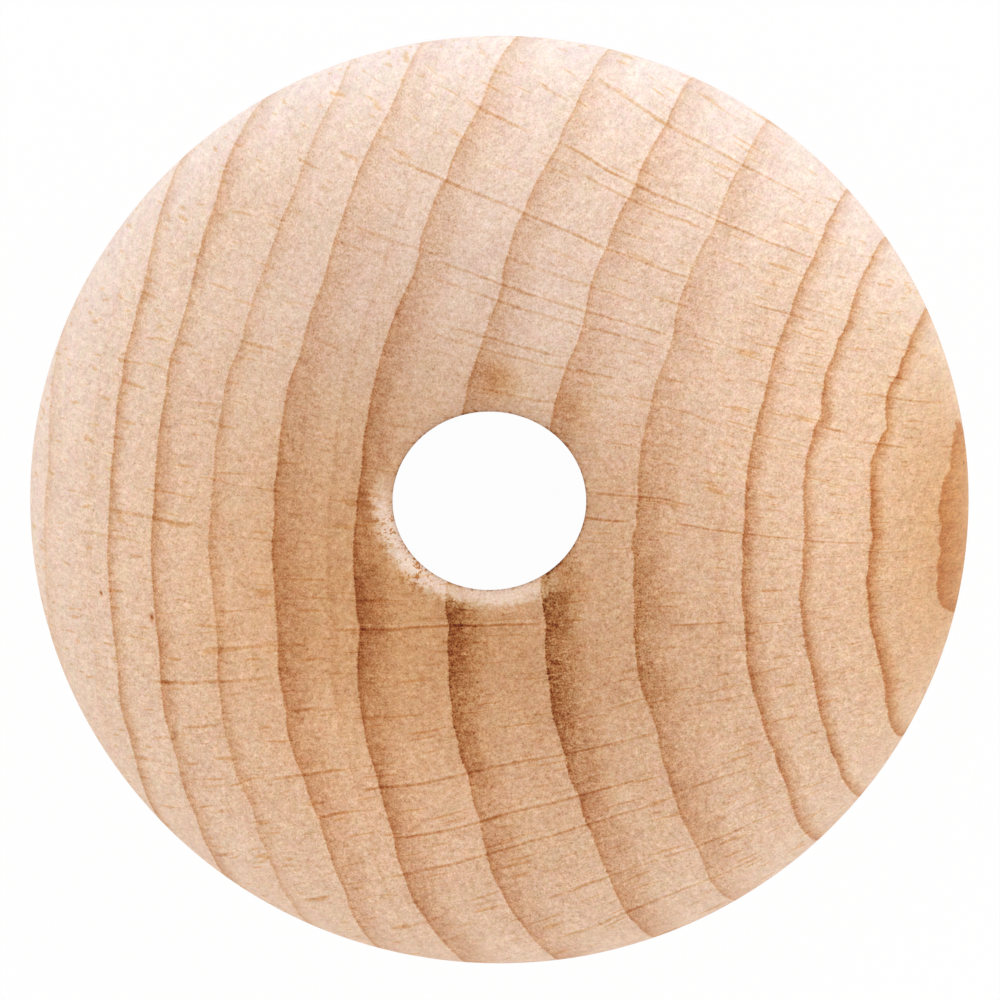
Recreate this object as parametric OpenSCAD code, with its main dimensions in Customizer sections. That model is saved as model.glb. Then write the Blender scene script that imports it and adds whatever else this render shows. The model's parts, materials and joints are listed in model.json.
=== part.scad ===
// A turned beech ball with a round bore drilled right through it, end grain to end grain.
// The origin is at the ball's centre, and +Z runs along the bore.
// The ball stands on the softened lower mouth of the bore, so its poles are the two mouths.

/* [Ball] */
// Diameter of the turned ball
ball_d = 30; // [20:0.5:60]

/* [Bore] */
// Diameter of the through bore, a 6 mm drill's hole once the wood has dried
bore_d = 5.9; // [3:0.1:10]
// How far beside the ball's centre the drill ran, towards -X
bore_off = 0.32; // [0:0.01:1]

/* [Mouths] */
// Radius of the softened edge at each mouth
mouth_r = 0.5; // [0.2:0.05:1.5]

/* [Preview] */
// Facets of a full turn in the preview
facets = 180; // [60:12:360]

/* [Hidden] */

ball_r = ball_d / 2;
bore_r = bore_d / 2;

// The softened edge is an arc from the ball's surface to the bore's wall.
// Its circle stands proud of both by this much, so that it crosses them cleanly and doesn't just touch.
arc_proud = mouth_r / 100;
arc_x = bore_r + mouth_r - arc_proud;
arc_z = sqrt(pow(ball_r - mouth_r + arc_proud, 2) - pow(arc_x, 2));

// Cutters run this far out of the wood. The waste's side is in line with the centres of arc and ball.
overrun = 1;
waste_corner = [arc_x, arc_z] * (ball_r + overrun) / norm([arc_x, arc_z]);

// Each mouth sits square to the ball's surface, so its waste leans from the centre to the bore's axis.
mouth_lean = asin(bore_off / arc_z);

// The straight drilled hole
module bore() {
    translate([-bore_off, 0, 0])
        cylinder(h = ball_d + 2 * overrun, r = bore_r, center = true, $fn = facets);
}

// Half section of the waste above a mouth's softened edge
module mouth_section() {
    difference() {
        polygon([
            [0, arc_z],
            [arc_x, arc_z],
            waste_corner,
            [0, ball_r + overrun]
        ]);
        translate([arc_x, arc_z])
            circle(r = mouth_r, $fn = facets);
    }
}

// The waste above the upper mouth
module mouth() {
    rotate([0, -mouth_lean, 0])
        rotate_extrude($fn = facets)
            mouth_section();
}

module ball() {
    color("burlywood")
        difference() {
            sphere(d = ball_d, $fn = facets);
            bore();
            mouth();
            mirror([0, 0, 1])
                mouth();
        }
}

ball();
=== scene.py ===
"""A turned beech ball with a bore drilled through it, seen straight down the bore."""

import json
import math

import bmesh
import bpy
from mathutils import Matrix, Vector, noise


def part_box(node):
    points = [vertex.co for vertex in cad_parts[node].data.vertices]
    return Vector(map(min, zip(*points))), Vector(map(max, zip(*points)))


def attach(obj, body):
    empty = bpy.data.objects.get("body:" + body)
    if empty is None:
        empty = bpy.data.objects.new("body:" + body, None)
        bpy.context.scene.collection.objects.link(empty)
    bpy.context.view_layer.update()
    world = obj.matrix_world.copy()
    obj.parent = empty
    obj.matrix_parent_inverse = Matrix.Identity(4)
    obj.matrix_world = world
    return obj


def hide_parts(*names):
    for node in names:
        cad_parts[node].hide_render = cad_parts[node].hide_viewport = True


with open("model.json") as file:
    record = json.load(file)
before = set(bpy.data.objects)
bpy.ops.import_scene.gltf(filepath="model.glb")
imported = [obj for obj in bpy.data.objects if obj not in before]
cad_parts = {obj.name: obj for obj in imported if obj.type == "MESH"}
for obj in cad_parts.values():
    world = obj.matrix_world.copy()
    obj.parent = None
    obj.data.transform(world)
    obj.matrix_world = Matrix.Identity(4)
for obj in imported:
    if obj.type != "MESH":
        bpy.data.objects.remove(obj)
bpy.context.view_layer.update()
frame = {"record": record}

# The same noise in every run
noise.seed_set(1)

MM = 0.001

# Points of the trued ball that are closer than this, in mm, are in one place
TOUCH = 0.001

# The ball and its bore, from the frame
low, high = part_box("ball")
FLOOR_Z = low.z
BALL_R = (high.x - low.x) / 2 / MM
bore_mount = frame["record"]["mounts"][0]
BORE_R = bore_mount["dims"]["r_mm"]
BORE_X = bore_mount["pos_m"][0] / MM

# How drying left the ball and its bore a little wider across the rings (X) than along them (Y)
BALL_SQUEEZE_Y = 0.9885
BORE_STRETCH_X = 1.05
BORE_SQUEEZE_Y = 0.967

# Where the bore's axis lies along Y, in mm
BORE_Y = -0.035

# The softened mouths, in mm
MOUTH_R = 0.5
MOUTH_X = BORE_R + MOUTH_R
MOUTH_Z = math.sqrt((BALL_R - MOUTH_R) ** 2 - MOUTH_X ** 2)
MOUTH_LEAN = math.asin(-BORE_X / MOUTH_Z)

# Hollows that sanding and tumbling left in the skin: how deep and how wide, in mm
HOLLOW_DEPTH = 0.025
HOLLOW_WIDTH = 3.5

# Mesh density of the ball, and how much of it is even: the rest of the rows crowd towards the mouths
ROUND_STEPS = 380
BALL_ROWS = 190
MOUTH_ROWS = 9
BORE_ROWS = 26
EVEN_ROWS = 0.3

# The tree that the ball was cut from, in mm: where its heart runs, and which way the grain points
HEART = Vector((31.2, -1.35, 0))
GRAIN = Vector((-0.075, -0.086, 1)).normalized()
OUTWARD = (-HEART + HEART.dot(GRAIN) * GRAIN).normalized()
SIDEWAYS = OUTWARD.cross(GRAIN)

# The table of growth rings runs between these distances from the heart, in mm
FIRST_RADIUS = 14
LAST_RADIUS = 50

# Growth rings: outer edge, how dark the latewood is, how far it fades inwards, in mm
RINGS = [
    (14.7, 0.8, 0.7),
    (16.68, 0.85, 0.6),
    (18.72, 1.25, 0.28),
    (20.7, 1.15, 0.28),
    (22.5, 1.15, 0.35),
    (23.3, 0.15, 0.2),
    (25.87, 0.8, 0.85),
    (28.81, 1.0, 0.9),
    (31.87, 0.95, 0.8),
    (34.8, 1.0, 0.8),
    (35.7, 0.15, 0.2),
    (37.43, 0.9, 0.85),
    (39.45, 0.6, 0.35),
    (41.52, 0.95, 0.42),
    (43.05, 0.95, 0.3),
    (43.8, 0.12, 0.2),
    (45.4, 0.5, 0.4),
    (47.6, 0.7, 0.5),
]

# Where a growth ring swells outwards (or in, below 0): radius, arc, how far, all in mm
RING_SWELLS = [
    (18.8, 6.0, -0.1),
    (18.8, -4.5, -0.1),
    (20.7, -6.0, -0.12),
    (21.8, 4.3, -0.12),
    (22.5, -5.0, -0.2),
    (22.5, -9.5, -0.2),
    (22.5, 10.0, -0.12),
    (26.0, -6.8, -0.35),
    (26.0, -3.0, -0.1),
    (26.0, -12.0, -0.15),
    (28.8, -5.0, -0.28),
    (28.8, -9.0, -0.22),
    (31.9, -12.0, 0.35),
    (31.9, -6.0, -0.13),
    (31.9, 4.5, -0.2),
    (33.3, 9.0, -0.12),
    (34.8, 2.8, -0.18),
    (34.8, -11.0, 0.15),
    (37.4, -9.0, -0.33),
    (39.4, 0.8, 0.14),
    (39.4, 9.0, -0.35),
    (42.4, -5.0, -0.18),
]

# How far a swell reaches across its ring and along it, in mm
SWELL_ACROSS = 1.6
SWELL_ALONG = 2.5

# The ring that is a true circle, in mm from the heart, and how much flatter those inside it are
ROUND_RING = 31.5
RING_FLATTENING = 0.0003

# Waves in the rings and in the rays: how far, then their length along arc, radius and grain, in mm
RING_WAVES = [
    (0.3, 3.5, 14, 10),
    (0.07, 0.9, 4, 6),
]
RAY_WAVES = [
    (0.1, 6, 3, 10),
    (0.03, 2, 0.8, 4),
]

# Arcs are measured at this radius, and the table of rays runs this far to each side, in mm
ARC_R = 30
LAST_ARC = 16

# Rays: arc, inner and outer end (their distances from the heart), strength
RAYS = [
    (13.77, 23.9, 31.7, 0.9),
    (12.95, 32.0, 33.3, 0.8),
    (12.83, 23.0, 24.0, 0.8),
    (12.75, 34.7, 35.9, 0.6),
    (12.55, 20.4, 21.7, 0.5),
    (11.9, 22.4, 31.7, 1.0),
    (11.8, 32.6, 35.1, 0.9),
    (11.45, 26.2, 30.6, 0.8),
    (10.7, 20.4, 21.1, 0.7),
    (10.05, 20.5, 22.6, 0.5),
    (9.65, 21.8, 24.0, 0.9),
    (9.8, 25.8, 36.0, 1.0),
    (9.4, 18.6, 19.4, 0.8),
    (9.0, 20.1, 20.9, 0.6),
    (8.5, 22.4, 24.0, 0.5),
    (8.5, 27.2, 32.2, 0.6),
    (8.3, 18.4, 19.4, 1.0),
    (7.9, 23.3, 25.9, 0.6),
    (7.87, 33.5, 36.6, 0.5),
    (7.72, 25.8, 33.8, 0.9),
    (7.5, 17.3, 19.9, 0.7),
    (7.4, 36.0, 37.3, 0.6),
    (7.25, 26.0, 34.0, 0.8),
    (6.15, 29.0, 33.0, 0.7),
    (6.1, 17.5, 18.3, 0.6),
    (5.8, 27.0, 33.3, 0.7),
    (5.95, 19.7, 20.8, 1.2),
    (5.7, 17.9, 19.6, 1.2),
    (5.12, 20.4, 26.0, 0.45),
    (4.75, 42.2, 43.1, 0.9),
    (4.65, 28.7, 31.5, 0.6),
    (4.4, 37.8, 39.3, 0.9),
    (3.75, 24.5, 26.1, 0.5),
    (3.45, 16.3, 17.0, 1.0),
    (3.1, 32.8, 34.0, 0.6),
    (2.8, 42.3, 43.1, 0.8),
    (1.75, 24.0, 27.4, 0.9),
    (1.1, 33.6, 35.1, 0.6),
    (0.95, 18.5, 24.6, 0.75),
    (0.85, 25.9, 27.6, 1.2),
    (0.3, 17.4, 18.4, 0.8),
    (-0.1, 39.7, 43.1, 0.75),
    (-0.7, 41.8, 44.2, 0.5),
    (-1.1, 16.6, 17.3, 1.0),
    (-2.4, 16.4, 17.1, 0.8),
    (-2.7, 28.7, 35.4, 1.2),
    (-3.15, 22.8, 24.8, 0.8),
    (-3.1, 36.3, 39.9, 0.7),
    (-3.95, 37.6, 41.9, 0.7),
    (-4.9, 36.0, 37.2, 0.8),
    (-5.05, 39.5, 41.0, 0.7),
    (-5.35, 41.1, 42.1, 0.8),
    (-5.9, 42.0, 43.2, 0.8),
    (-6.45, 22.6, 24.6, 0.6),
    (-6.65, 35.7, 38.3, 0.9),
    (-6.62, 39.8, 40.7, 0.75),
    (-7.3, 25.7, 35.4, 0.85),
    (-7.3, 39.8, 40.6, 0.8),
    (-7.85, 36.0, 37.2, 1.0),
    (-8.45, 40.2, 41.1, 0.9),
    (-8.85, 26.6, 34.6, 0.8),
    (-9.0, 38.2, 39.1, 0.6),
    (-9.65, 23.0, 25.4, 0.6),
    (-9.92, 26.0, 35.6, 0.75),
    (-10.05, 37.4, 38.7, 1.0),
    (-11.2, 32.1, 33.5, 0.7),
    (-11.3, 20.9, 22.6, 0.5),
    (-11.45, 34.1, 36.1, 0.6),
    (-11.95, 23.0, 31.0, 0.55),
    (-12.2, 33.9, 35.1, 0.6),
    (-12.7, 21.7, 22.9, 0.5),
    (-13.4, 24.1, 31.0, 0.7),
]

# A ray this strong also holds back the rings that it crosses: how far, how wide and past its ends, in mm
BROAD_RAY = 0.75
HOLD_BACK = 0.12
HOLD_WIDTH = 0.5
HOLD_PAST_ENDS = 1

# Near the heart the rays bend aside: from which radius, by what slope, round which arc and how wide
BEND_RADIUS = 25
BEND_SLOPE = 0.2
BEND_ARC = 2
BEND_WIDTH = 4.5

# Patches of slightly redder colour and of painted shade from fine relief: how wide, in mm, how strong,
# and how much longer along the grain
MOTTLES = [
    (0.5, 1.0),
    (1.1, 0.4),
]
MOTTLE_STRETCH = 5

# The finish looks rings and rays up in tables. A table has this many steps at most.
MOST_STEPS = 31

# How far past its edge a ring's step goes on, and how wide a strip of arc a ray needs, in mm
RING_ROOM = 0.06
RAY_ROOM = 0.18

# Marks on the wood, all as round patches: centre, spread, how much, in mm
RUST = [((16, -1, 4), 5.7, 1)]
SOAKED = [((-3.3, -2.8, 13), 5, 1)]
STAIN = [((0.8, -4.2, 13.5), 4, 1)]
BARE = [((5, 6, 12), 5, 1)]
# Greyer wood above the hole, darker in part as painted shade
GREYED_AND_SHADED = [((-2, 6, 13), 6.5, 1)]
DROPS = [
    ((0, 3.75, 14.4), 0.65, 1),
    ((2.4, 2.8, 14.4), 0.6, 0.4),
    ((2.6, -2.6, 14.4), 0.6, 0.4),
]
TORN = [
    ((-3.3, -0.9, 14.4), 0.5, 1),
    ((-2.6, -2.2, 14.4), 0.45, 1),
]
SPECKS = [
    ((-12.72, -2.98, 7.33), 0.09, 1),
    ((-11.1, -3.75, 9.32), 0.09, 1),
]

# Faint areas of darker (or paler, below 0) colour; the first is painted shade at the upper left rim
SHADES = [
    ((-8.5, 9.5, 8.0), 4.0, 0.13),
    ((-7.3, 6.3, 11.5), 2.5, -0.08),
    ((-3.4, 4.5, 13.8), 2.0, 0.13),
    ((-5.2, 1.0, 14.0), 2.0, 0.13),
    ((1.6, 6.0, 13.6), 2.0, -0.12),
    ((1.9, -2.5, 14.4), 1.2, -0.2),
    ((4.0, 0.3, 14.4), 1.8, 0.19),
    ((4.2, -5.5, 13.5), 4.0, 0.15),
    ((10.6, -0.3, 10.6), 2.5, -0.08),
]

# Areas painted paler than elsewhere: painted sheen on the sides of the ball
PAINTED_SHEEN_AREAS = [
    ((-4, -9, 11), 4.5, 0.11),
    ((-8.5, -2.5, 11), 4.5, 0.09),
    ((9.5, 1, 11), 4.5, 0.06),
]

# Beech at a depth of colour of 1, the tint of its warm places, and its green and blue against red
PALE_BEECH = (0.774, 0.583, 0.41, 1)
WARM_TINT = (0.88, 0.66, 0.37, 1)
GREEN_SHARE = 0.942
BLUE_SHARE = 0.99

# What the camera sees: the width of its view and the view's centre, in mm, and its height in m
VIEW_WIDTH = 31.94
VIEW_CENTRE = (0.02, -0.01)
CAMERA_Z = 0.3

# Half the width of the floor, in m
FLOOR_REACH = 1.5


def mesh_object(name, bm):
    """A bmesh made into an object of the scene."""
    mesh = bpy.data.meshes.new(name)
    bm.to_mesh(mesh)
    bm.free()
    piece = bpy.data.objects.new(name, mesh)
    bpy.context.scene.collection.objects.link(piece)
    return piece


class Signal:
    """A value on its way through a material. Python's operators add the Math nodes."""

    def __init__(self, finish, socket):
        self.finish = finish
        self.socket = socket

    def __add__(self, other):
        return self.finish.maths("ADD", self, other)

    def __radd__(self, other):
        return self.finish.maths("ADD", other, self)

    def __sub__(self, other):
        return self.finish.maths("SUBTRACT", self, other)

    def __rsub__(self, other):
        return self.finish.maths("SUBTRACT", other, self)

    def __mul__(self, other):
        return self.finish.maths("MULTIPLY", self, other)

    def __rmul__(self, other):
        return self.finish.maths("MULTIPLY", other, self)

    def __truediv__(self, other):
        return self.finish.maths("DIVIDE", self, other)

    def __rtruediv__(self, other):
        return self.finish.maths("DIVIDE", other, self)

    def __pow__(self, other):
        return self.finish.maths("POWER", self, other)

    def __neg__(self):
        return self.finish.maths("MULTIPLY", self, -1.0)

    def __abs__(self):
        return self.finish.maths("ABSOLUTE", self)


class Finish:
    """The nodes of a material or of the world."""

    def __init__(self, owner):
        self.owner = owner
        owner.use_nodes = True
        self.tree = owner.node_tree
        self.tree.nodes.clear()

    def node(self, kind, settings=None, inputs=None):
        """Adds a node, sets it, and then feeds its sockets with numbers, colours or signals."""
        made = self.tree.nodes.new(kind)
        for name, value in (settings or {}).items():
            if name == "steps":
                self.set_steps(made.color_ramp, value)
            else:
                setattr(made, name, value)
        for name, value in (inputs or {}).items():
            if isinstance(value, Signal):
                self.tree.links.new(value.socket, made.inputs[name])
            else:
                made.inputs[name].default_value = value
        return made

    @staticmethod
    def set_steps(ramp, steps):
        """Makes a ramp a table: from each place on, it gives that step's four numbers."""
        ramp.interpolation = "CONSTANT"
        ramp.elements.remove(ramp.elements[1])
        ramp.elements[0].position = 0
        ramp.elements[0].color = steps[0][1]
        for place, numbers in steps[1:]:
            ramp.elements.new(place).color = numbers

    def signal(self, kind, settings=None, inputs=None, output=0):
        """As node, but gives one of its outputs."""
        return Signal(self, self.node(kind, settings, inputs).outputs[output])

    def maths(self, operation, *values):
        return self.signal("ShaderNodeMath", {"operation": operation}, dict(enumerate(values)))

    def vector_maths(self, operation, *values, output=0):
        settings = {"operation": operation}
        return self.signal("ShaderNodeVectorMath", settings, dict(enumerate(values)), output)

    def along(self, place, direction):
        """How far a place lies along a direction."""
        return self.vector_maths("DOT_PRODUCT", place, direction, output=1)

    def rise(self, value, start, end):
        """A smooth step from 0 at start to 1 at end."""
        inputs = {"Value": value, "From Min": start, "From Max": end}
        return self.signal("ShaderNodeMapRange", {"interpolation_type": "SMOOTHSTEP"}, inputs)

    def fall(self, depth, reach):
        """1 at no depth, falling off by a factor e with every reach."""
        return self.maths("EXPONENT", -depth / reach)

    def patches(self, place, marks):
        """Soft round patches, each as strong at its centre as its last number says."""
        total = 0.0
        for centre, spread, amount in marks:
            distance = self.vector_maths("DISTANCE", place, centre, output=1) / spread
            total = total + self.maths("EXPONENT", distance * distance * -1) * amount
        return total

    def point(self, x, y, z):
        return self.signal("ShaderNodeCombineXYZ", None, {0: x, 1: y, 2: z})

    def carried(self, name):
        """A number that the mesh carries from point to point."""
        return self.signal("ShaderNodeAttribute", {"attribute_name": name}, output=2)

    def table(self, place, steps):
        """The four numbers that a table of steps holds for a place from 0 to 1."""
        ramp = self.node("ShaderNodeValToRGB", {"steps": steps}, {0: place})
        parts = self.node("ShaderNodeSeparateColor", None, {0: Signal(self, ramp.outputs[0])})
        return [Signal(self, socket) for socket in [*parts.outputs, ramp.outputs[1]]]

    def cloud(self, place, detail=0.0, roughness=0.5):
        """Soft noise round zero, mostly within a half to each side."""
        inputs = {"Vector": place, "Scale": 1.0, "Detail": detail, "Roughness": roughness}
        return self.signal("ShaderNodeTexNoise", None, inputs) * 2 - 1

    def clouds(self, place, detail=0.0, roughness=0.5):
        """Two such noises that have nothing to do with each other."""
        inputs = {"Vector": place, "Scale": 1.0, "Detail": detail, "Roughness": roughness}
        parts = self.signal("ShaderNodeTexNoise", None, inputs, 1)
        return [self.along(parts, direction) * 2 - 1 for direction in ((0, 1, 0), (0, 0, 1))]


def shell_section():
    """Half section of the ball as a closed loop of (distance from the bore's axis, height)."""
    touch = math.atan2(MOUTH_Z, MOUTH_X)
    crowded = 1 - EVEN_ROWS
    outer = []
    for row in range(BALL_ROWS + 1):
        even = 2 * row / BALL_ROWS - 1
        latitude = touch * (EVEN_ROWS * even + crowded * (1.5 * even - 0.5 * even ** 3))
        outer.append((BALL_R * math.cos(latitude), BALL_R * math.sin(latitude)))
    upper = []
    for row in range(1, MOUTH_ROWS + 1):
        turn = touch + (math.pi - touch) * row / MOUTH_ROWS
        upper.append((MOUTH_X + MOUTH_R * math.cos(turn), MOUTH_Z + MOUTH_R * math.sin(turn)))
    wall = []
    for row in range(1, BORE_ROWS):
        wall.append((BORE_R, MOUTH_Z * (1 - 2 * row / BORE_ROWS)))
    lower = [(x, -z) for x, z in reversed(upper)]
    return outer + upper + wall + lower


def smooth_step(value):
    held = min(max(value, 0), 1)
    return held * held * (3 - 2 * held)


def hump(distance, spread):
    """A bell curve, 1 at no distance."""
    return math.exp(-(distance / spread) ** 2)


def dried(x, y, z):
    """Where drying and the leaning mouths take a point of the trued ball, in mm."""
    reach = math.hypot(x, y)
    in_bore = reach < BORE_R + TOUCH and abs(z) < MOUTH_Z - TOUCH
    near_bore = smooth_step((2 * BORE_R - reach) / BORE_R)
    if in_bore:
        x += BORE_X
    else:
        half = 2 * smooth_step(z / BALL_R + 0.5) - 1
        lean = MOUTH_LEAN * half
        x, z = x * math.cos(lean) - z * math.sin(lean), x * math.sin(lean) + z * math.cos(lean)
    bore_x = BORE_X * near_bore
    x = bore_x + (x - bore_x) * (1 + (BORE_STRETCH_X - 1) * near_bore)
    y *= BALL_SQUEEZE_Y + (BORE_SQUEEZE_Y - BALL_SQUEEZE_Y) * near_bore
    y += BORE_Y * near_bore
    return Vector((x, y, z))


def tree_place(point):
    """Distance from the heart, arc round it and height along the grain of a point, all in mm."""
    from_heart = point - HEART
    out = from_heart.dot(OUTWARD)
    side = from_heart.dot(SIDEWAYS)
    return math.hypot(out, side), math.atan2(side, out) * ARC_R, from_heart.dot(GRAIN)


def waves(sizes, radius, arc, up):
    """How far waves of these sizes move a place in the tree, in mm."""
    total = 0
    for amount, arc_length, radius_length, grain_length in sizes:
        place = Vector((arc / arc_length, radius / radius_length, up / grain_length))
        total += amount * noise.noise(place)
    return total


def ring_shift(radius, arc, up):
    """How far the growth rings stand outside a true circle at a place in the tree, in mm."""
    shift = (ROUND_RING - radius) * arc * arc * RING_FLATTENING + waves(RING_WAVES, radius, arc, up)
    for swell_radius, swell_arc, amount in RING_SWELLS:
        across = hump(radius - swell_radius, SWELL_ACROSS)
        shift += amount * across * hump(arc - swell_arc, SWELL_ALONG)
    for ray_arc, inner, outer, strength in RAYS:
        beside = abs(arc - ray_arc)
        crossed = inner - HOLD_PAST_ENDS < radius < outer + HOLD_PAST_ENDS
        if strength > BROAD_RAY and crossed and beside < 3 * HOLD_WIDTH:
            shift -= HOLD_BACK * strength * math.exp(-beside / HOLD_WIDTH)
    return shift


def ray_shift(radius, arc, up):
    """How far the rays run beside a straight line from the heart, in mm."""
    bend = BEND_SLOPE * max(BEND_RADIUS - radius, 0) * hump(arc - BEND_ARC, BEND_WIDTH)
    return waves(RAY_WAVES, radius, arc, up) + bend


def mottling(radius, arc, up):
    """How much painted shade of fine relief makes the wood duller, and how much redder than the rest it
    is, at a place in the tree.
    """
    total = Vector((0, 0, 0))
    for width, amount in MOTTLES:
        total += noise.noise_vector(Vector((radius, arc, up / MOTTLE_STRETCH)) / width) * amount
    return total.xy


def turned_ball():
    """The ball as one closed skin: its section spun round the bore, then set off centre and dried."""
    bm = bmesh.new()
    section = [bm.verts.new((x, 0, z)) for x, z in shell_section()]
    edges = [bm.edges.new((a, b)) for a, b in zip(section, section[1:] + section[:1])]
    bmesh.ops.spin(
        bm, geom=section + edges, cent=(0, 0, 0), axis=(0, 0, 1),
        angle=math.tau, steps=ROUND_STEPS, use_merge=True, use_duplicate=False,
    )
    bmesh.ops.remove_doubles(bm, verts=bm.verts, dist=TOUCH)
    bmesh.ops.recalc_face_normals(bm, faces=bm.faces)
    ring_layer = bm.verts.layers.float.new("ring_shift")
    ray_layer = bm.verts.layers.float.new("ray_shift")
    # The painted shade of fine relief, carried on the mesh
    relief_shade_layer = bm.verts.layers.float.new("dullness")
    blush_layer = bm.verts.layers.float.new("blush")
    for vert in bm.verts:
        point = dried(*vert.co)
        hollow = 0.5 + 0.5 * noise.noise(point / HOLLOW_WIDTH)
        point *= 1 - HOLLOW_DEPTH * hollow / BALL_R
        radius, arc, up = tree_place(point)
        vert[ring_layer] = ring_shift(radius, arc, up)
        vert[ray_layer] = ray_shift(radius, arc, up)
        vert[relief_shade_layer], vert[blush_layer] = mottling(radius, arc, up)
        vert.co = point * MM
    for face in bm.faces:
        face.smooth = True
    return mesh_object("turned_ball", bm)


def ring_steps():
    """The growth rings as a table over the distance from the heart."""
    steps = []
    start = 0
    for outer, strength, fade in RINGS:
        steps.append((start, (outer / LAST_RADIUS, strength, fade, 1)))
        start = (outer + RING_ROOM - FIRST_RADIUS) / (LAST_RADIUS - FIRST_RADIUS)
    return steps


def ray_groups():
    """The rays in as few groups as give each ray a strip of arc to itself."""
    groups = []
    for ray in RAYS:
        for group in groups:
            if len(group) < MOST_STEPS and all(abs(ray[0] - other[0]) > RAY_ROOM for other in group):
                group.append(ray)
                break
        else:
            groups.append([ray])
    return groups


def ray_steps(group):
    """A group of rays as a table over the arc. Each step starts half way from the ray before."""
    steps = []
    last_arc = -2 * LAST_ARC
    for arc, inner, outer, strength in sorted(group):
        start = max(((last_arc + arc) / 2 / LAST_ARC + 1) / 2, 0)
        numbers = (arc / LAST_ARC / 2 + 0.5, inner / LAST_RADIUS, outer / LAST_RADIUS, strength / 2)
        steps.append((start, numbers))
        last_arc = arc
    return steps


class Block:
    """Where each point of the ball lies in the tree, in mm, and the fine grain there."""

    def __init__(self, f):
        place = f.signal("ShaderNodeTexCoord", output=3)
        self.spot = f.vector_maths("MULTIPLY", place, [1 / MM] * 3)
        self.height = f.along(self.spot, (0, 0, 1))
        from_heart = f.vector_maths("SUBTRACT", self.spot, HEART)
        out = f.along(from_heart, OUTWARD)
        side = f.along(from_heart, SIDEWAYS)
        up = f.along(from_heart, GRAIN)
        self.straight_radius = (out * out + side * side) ** 0.5
        self.radius = self.straight_radius - f.carried("ring_shift")
        self.arc = f.maths("ARCTAN2", side, out) * ARC_R + f.carried("ray_shift")

        # Fibres, pores and flecks run with the grain, and the depth of colour drifts
        self.fibres = f.cloud(f.point(out / 0.16, side / 0.16, up / 1.6), 1, 0.8)
        self.pores = f.cloud(f.point(out / 0.048, side / 0.052, up / 0.5))
        self.drift = f.cloud(f.point(self.radius / 1.2, self.arc / 2.2, up / 8), 2, 0.8)
        self.flecks = f.clouds(f.point(out / 0.25, side / 0.25, up / 1.5), 2, 0.9)

        # Threads and small rays point to the heart: hairlines on end grain, dashes on the sides
        self.threads = f.cloud(f.point(self.arc / 0.07, self.straight_radius / 0.45, up / 0.8))
        hairs = f.cloud(f.point(self.arc / 0.1, self.straight_radius / 1.6, up / 0.9))
        self.hairs = f.rise(hairs, 0.34, 0.6)


def bore_wear(f, wood):
    """The mouths' pale worn edge, also a painted highlight at the lower left where the key light falls on
    the slope, a painted shadow in chips at their inner edge, and the drilled wall, darkened partly as
    painted shade.
    """
    bore_out = f.along(wood.spot, (1 / BORE_STRETCH_X, 0, 0)) - BORE_X / BORE_STRETCH_X
    bore_side = (f.along(wood.spot, (0, 1, 0)) - BORE_Y) / BORE_SQUEEZE_Y
    reach = (bore_out * bore_out + bore_side * bore_side) ** 0.5
    worn_and_lit = f.rise(reach + wood.fibres * 0.2, MOUTH_X + 0.3, MOUTH_X - 0.2)
    # Only the lower left of the mouth, which faces the key light, is made paler: worn wood and a painted
    # highlight
    worn_and_lit = worn_and_lit * f.rise(bore_out * -0.52 - bore_side * 0.85, 0.4, 2.3)
    # A painted shadow: small chips along the bore's inner edge are made darker
    chip_shadow = f.rise(reach, BORE_R + 0.11, BORE_R + 0.04) * f.rise(wood.fibres, 0.1, 0.25)
    # The drilled wall is made darker: partly rough drilled wood, partly painted shade inside the bore
    drilled_and_shaded = f.rise(reach, BORE_R + 0.04, BORE_R - 0.01)
    return worn_and_lit, chip_shadow, drilled_and_shaded


def growth_rings(f, wood, worn_and_lit, stain):
    """Dark latewood that fades inwards, and the fine line at each ring's outer edge."""
    place = (wood.radius - FIRST_RADIUS) / (LAST_RADIUS - FIRST_RADIUS)
    edge, strength, fade, _ = f.table(place, ring_steps())
    inside = edge * LAST_RADIUS - wood.radius + wood.pores * 0.025
    depth = f.maths("MAXIMUM", inside, 0.0)
    strength = strength * f.rise(inside, -0.04, 0.04) * (1 - worn_and_lit * 0.6)
    line = f.fall(depth, 0.09) * strength
    latewood = f.rise(depth / fade, 1.9, 0.0) * strength + line * (0.75 - stain * 0.5)
    latewood = latewood * (1 + wood.threads * 0.15 + wood.pores * 0.25 + wood.drift * 0.5)
    return latewood, line


def main_rays(f, wood):
    """The main rays, each a thin sheet that points to the heart, and a painted highlight along one side
    of each.
    """
    rays = 0.0
    ray_highlights = 0.0
    for group in ray_groups():
        ray_arc, inner, outer, strength = f.table(wood.arc / LAST_ARC / 2 + 0.5, ray_steps(group))
        gap = wood.arc - (ray_arc * 2 - 1) * LAST_ARC
        from_inner = wood.straight_radius - inner * LAST_RADIUS
        from_outer = outer * LAST_RADIUS - wood.straight_radius
        strength = strength * f.rise(f.maths("MINIMUM", from_inner, from_outer), -0.1, 0.5) * 2
        rays = rays + f.rise(abs(gap), 0.06, 0.02) * strength
        # A painted highlight: a pale strip along one side of each ray, as if a ridge caught the light
        ray_highlights = ray_highlights + f.rise(abs(gap - 0.11), 0.06, 0.02) * strength
    rays = rays * f.rise(abs(wood.height), 1, 4) * (0.95 + wood.drift * 0.6 + wood.fibres * 0.3)
    return rays, ray_highlights


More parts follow.
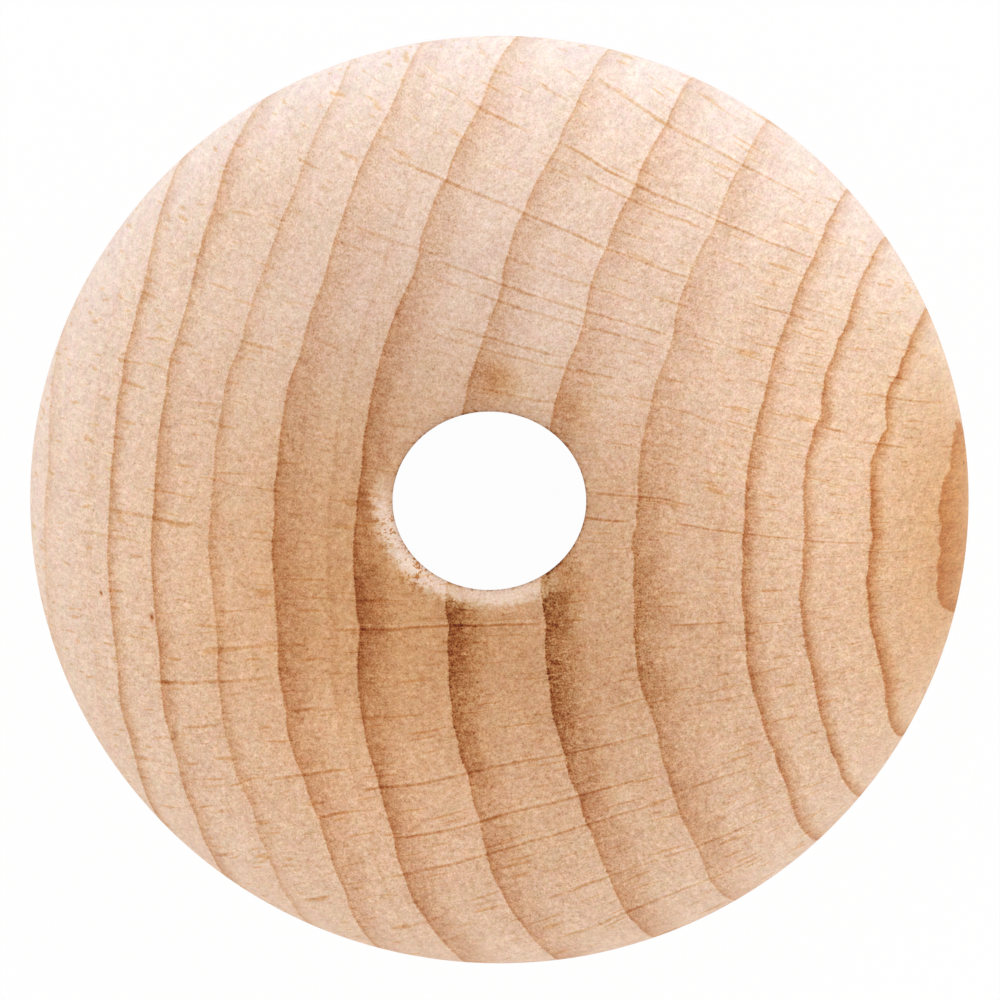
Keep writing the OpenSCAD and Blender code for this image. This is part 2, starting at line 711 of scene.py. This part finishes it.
def beech():
    """Beech, cut in every direction: growth rings, rays, pores, and the marks on this ball."""
    f = Finish(bpy.data.materials.new("beech"))
    wood = Block(f)
    fibres = wood.fibres
    pores = wood.pores

    # Marks: the worn bore with its painted highlight, painted shadow and painted shade, rust at the rim,
    # stains and drops round the upper mouth, greyer wood with painted shade above the hole, torn fibres,
    # specks
    worn_and_lit, chip_shadow, drilled_and_shaded = bore_wear(f, wood)
    rust = f.patches(wood.spot, RUST)
    soaked = f.patches(wood.spot, SOAKED) * (1 - worn_and_lit)
    stain = f.patches(wood.spot, STAIN)
    bare = f.patches(wood.spot, BARE)
    # Above the hole: greyer wood and painted shade
    greyed_and_shaded = f.patches(wood.spot, GREYED_AND_SHADED)
    drops = f.patches(wood.spot, DROPS)
    torn = f.patches(wood.spot, TORN) * f.rise(fibres + pores * 0.4, 0.12, 0.25)
    specks = f.patches(wood.spot, SPECKS)

    latewood, ring_line = growth_rings(f, wood, worn_and_lit, stain)
    rays, ray_highlights = main_rays(f, wood)

    # How deep the colour is: end grain drinks more light than side grain, and at the poles it is also
    # painted shade, where less light falls than on the sides
    pole = abs(wood.height) / BALL_R
    # It is also darker towards -Y, the bottom of the view: partly wood, partly painted shade, as the
    # light comes more from +Y
    ground = 0.745 - f.along(wood.spot, (0, 1, 0)) * 0.025 + f.rise(pole, 0.1, 1.0) * 0.59
    ground = ground + soaked * 0.25 + stain * 0.2 + rust * 0.57 + drops * 0.3 - greyed_and_shaded * 0.14
    ground = ground + f.patches(wood.spot, SHADES)

    # How much deeper it is in rings, pores, rays and marks, with painted shade in the chips and the bore,
    # and how much less in worn wood, its painted highlight and the painted highlights beside the rays
    pits = f.rise(pores, 0.3, 0.6) * f.rise(fibres, -0.1, 0.4)
    speckle = fibres * 0.41 + pores * 0.3 + wood.threads * 0.1 + pits * 0.24
    speckle = speckle * f.rise(pole, -0.2, 0.5) * (1 - worn_and_lit * 0.3)
    contrast = 0.38 + stain * 0.35 + soaked * 0.12 - bare * 0.12 - rust * 0.12 + drops * 0.38
    deeper = latewood * contrast + speckle * (1 + latewood * stain * 0.9) + wood.drift * 0.17
    # The painted highlights beside the rays make it paler
    deeper = deeper + rays * 0.36 - ray_highlights * 0.1 + wood.hairs * (0.12 - greyed_and_shaded * 0.08)
    deeper = deeper + torn * 0.9 + specks * 1.5 - worn_and_lit * 0.62
    # Painted shadow in the chips and painted shade on the bore's wall
    deeper = deeper + chip_shadow * 0.5 + drilled_and_shaded * (0.25 + fibres * 0.5)
    tone = ground * f.maths("EXPONENT", deeper)
    base = f.signal("ShaderNodeGamma", None, {"Color": PALE_BEECH, "Gamma": tone})

    # Where it leans to yellow
    warmth = rays * (0.35 - greyed_and_shaded * 0.25) + wood.hairs * (0.5 - greyed_and_shaded * 0.45)
    warmth = warmth + latewood * (0.05 + rust * 0.8) + ring_line * 0.4
    warmth = warmth + rust * 0.62 + soaked * 0.46 + torn * 0.9 + drops * 0.4 - bare * 0.05 - greyed_and_shaded * 0.05
    warm = f.signal("ShaderNodeGamma", None, {"Color": WARM_TINT, "Gamma": warmth})

    # Where it leans to red, and where to a dull blue-grey: partly grey in the wood, partly painted shade
    # in pores, fine relief and latewood
    lively = 1 - greyed_and_shaded * 0.5
    redness = f.carried("blush") * 0.03 + wood.flecks[0] * lively * 0.13 + greyed_and_shaded * 0.01
    redness = redness + latewood * (0.02 - stain * 0.08)
    grey_and_shade = f.carried("dullness") * 0.05 + wood.flecks[1] * lively * 0.21 + greyed_and_shaded * 0.09
    # Painted shade: pores and fibres, and latewood in part, made greyer and darker
    grey_and_shade = grey_and_shade + pores * 0.1 + fibres * 0.05 + latewood * (0.02 + soaked * 0.06 + stain * 0.06)
    # How much of the colour is left: less where the wood is greyer or painted shade, more in the painted
    # sheen
    clear = 1 - grey_and_shade + f.patches(wood.spot, PAINTED_SHEEN_AREAS)
    tint = f.point(clear, clear * GREEN_SHARE - redness, clear * BLUE_SHARE)
    colour = f.vector_maths("MULTIPLY", f.vector_maths("MULTIPLY", base, warm), tint)

    # Fibres stand up a little and pores lie deeper, in mm
    relief = fibres * 0.004 - pores * 0.007
    normal = f.signal("ShaderNodeBump", None, {"Strength": 1.0, "Distance": MM, "Height": relief})
    shader = f.signal("ShaderNodeBsdfPrincipled", None, {
        "Base Color": colour,
        "Roughness": 0.6,
        "Specular IOR Level": 0.2,
        "Normal": normal,
    })
    f.node("ShaderNodeOutputMaterial", None, {"Surface": shader})
    return f.owner


def studio_floor():
    """A pale table. The camera sees nearly all of it as white, so that a faint shadow is left."""
    bm = bmesh.new()
    bmesh.ops.create_grid(bm, x_segments=1, y_segments=1, size=FLOOR_REACH)
    bmesh.ops.translate(bm, verts=bm.verts, vec=(0, 0, FLOOR_Z))
    floor = mesh_object("studio_floor", bm)
    f = Finish(bpy.data.materials.new("table_white"))
    seen = f.signal("ShaderNodeLightPath")
    lit = f.signal("ShaderNodeBsdfDiffuse", None, {"Color": (0.9, 0.9, 0.9, 1)})
    glow = f.signal("ShaderNodeEmission", None, {"Color": (1, 1, 1, 1), "Strength": 1.0})
    shader = f.signal("ShaderNodeMixShader", None, {0: seen * 0.98, 1: lit, 2: glow})
    f.node("ShaderNodeOutputMaterial", None, {"Surface": shader})
    floor.data.materials.append(f.owner)


def studio_light(overhead, horizon, more_from_y):
    """Even light from all round, fuller from the sides than from above, and white behind the ball."""
    f = Finish(bpy.data.worlds.new("studio"))
    seen = f.node("ShaderNodeLightPath").outputs
    in_view = f.maths("MAXIMUM", Signal(f, seen["Is Camera Ray"]), Signal(f, seen["Is Glossy Ray"]))
    height = abs(f.along(f.signal("ShaderNodeTexCoord"), (0, 0, 1)))
    strength = overhead + (horizon - overhead) * (1 - height) ** 2
    strength = strength * (1 + f.along(f.signal("ShaderNodeTexCoord"), (0, more_from_y, 0)))
    strength = strength + in_view * (1 - strength)
    light = f.signal("ShaderNodeBackground", None, {"Color": (1, 1, 1, 1), "Strength": strength})
    f.node("ShaderNodeOutputWorld", None, {"Surface": light})
    bpy.context.scene.world = f.owner


def soft_lamp(name, place, size, power):
    """A square soft box that faces the ball."""
    data = bpy.data.lights.new(name, "AREA")
    data.size = size
    data.energy = power
    lamp = bpy.data.objects.new(name, data)
    lamp.location = place
    lamp.rotation_mode = "QUATERNION"
    lamp.rotation_quaternion = (-Vector(place)).to_track_quat("-Z", "Y")
    lamp.visible_camera = False
    bpy.context.scene.collection.objects.link(lamp)


def camera_down_the_bore():
    """A long lens straight above, so that the bore's wall stays out of sight."""
    data = bpy.data.cameras.new("camera")
    data.type = "ORTHO"
    data.ortho_scale = VIEW_WIDTH * MM
    camera = bpy.data.objects.new("camera", data)
    camera.location = (VIEW_CENTRE[0] * MM, VIEW_CENTRE[1] * MM, CAMERA_Z)
    bpy.context.scene.collection.objects.link(camera)
    bpy.context.scene.camera = camera


camera_down_the_bore()
ball = turned_ball()
ball.data.materials.append(beech())
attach(ball, "root")
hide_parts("ball")

studio_floor()
studio_light(overhead=0.7, horizon=2.0, more_from_y=0.06)
soft_lamp("key_light", place=(0.35, 0.25, 0.35), size=0.25, power=0.3)
bpy.context.scene.view_settings.view_transform = "Standard"
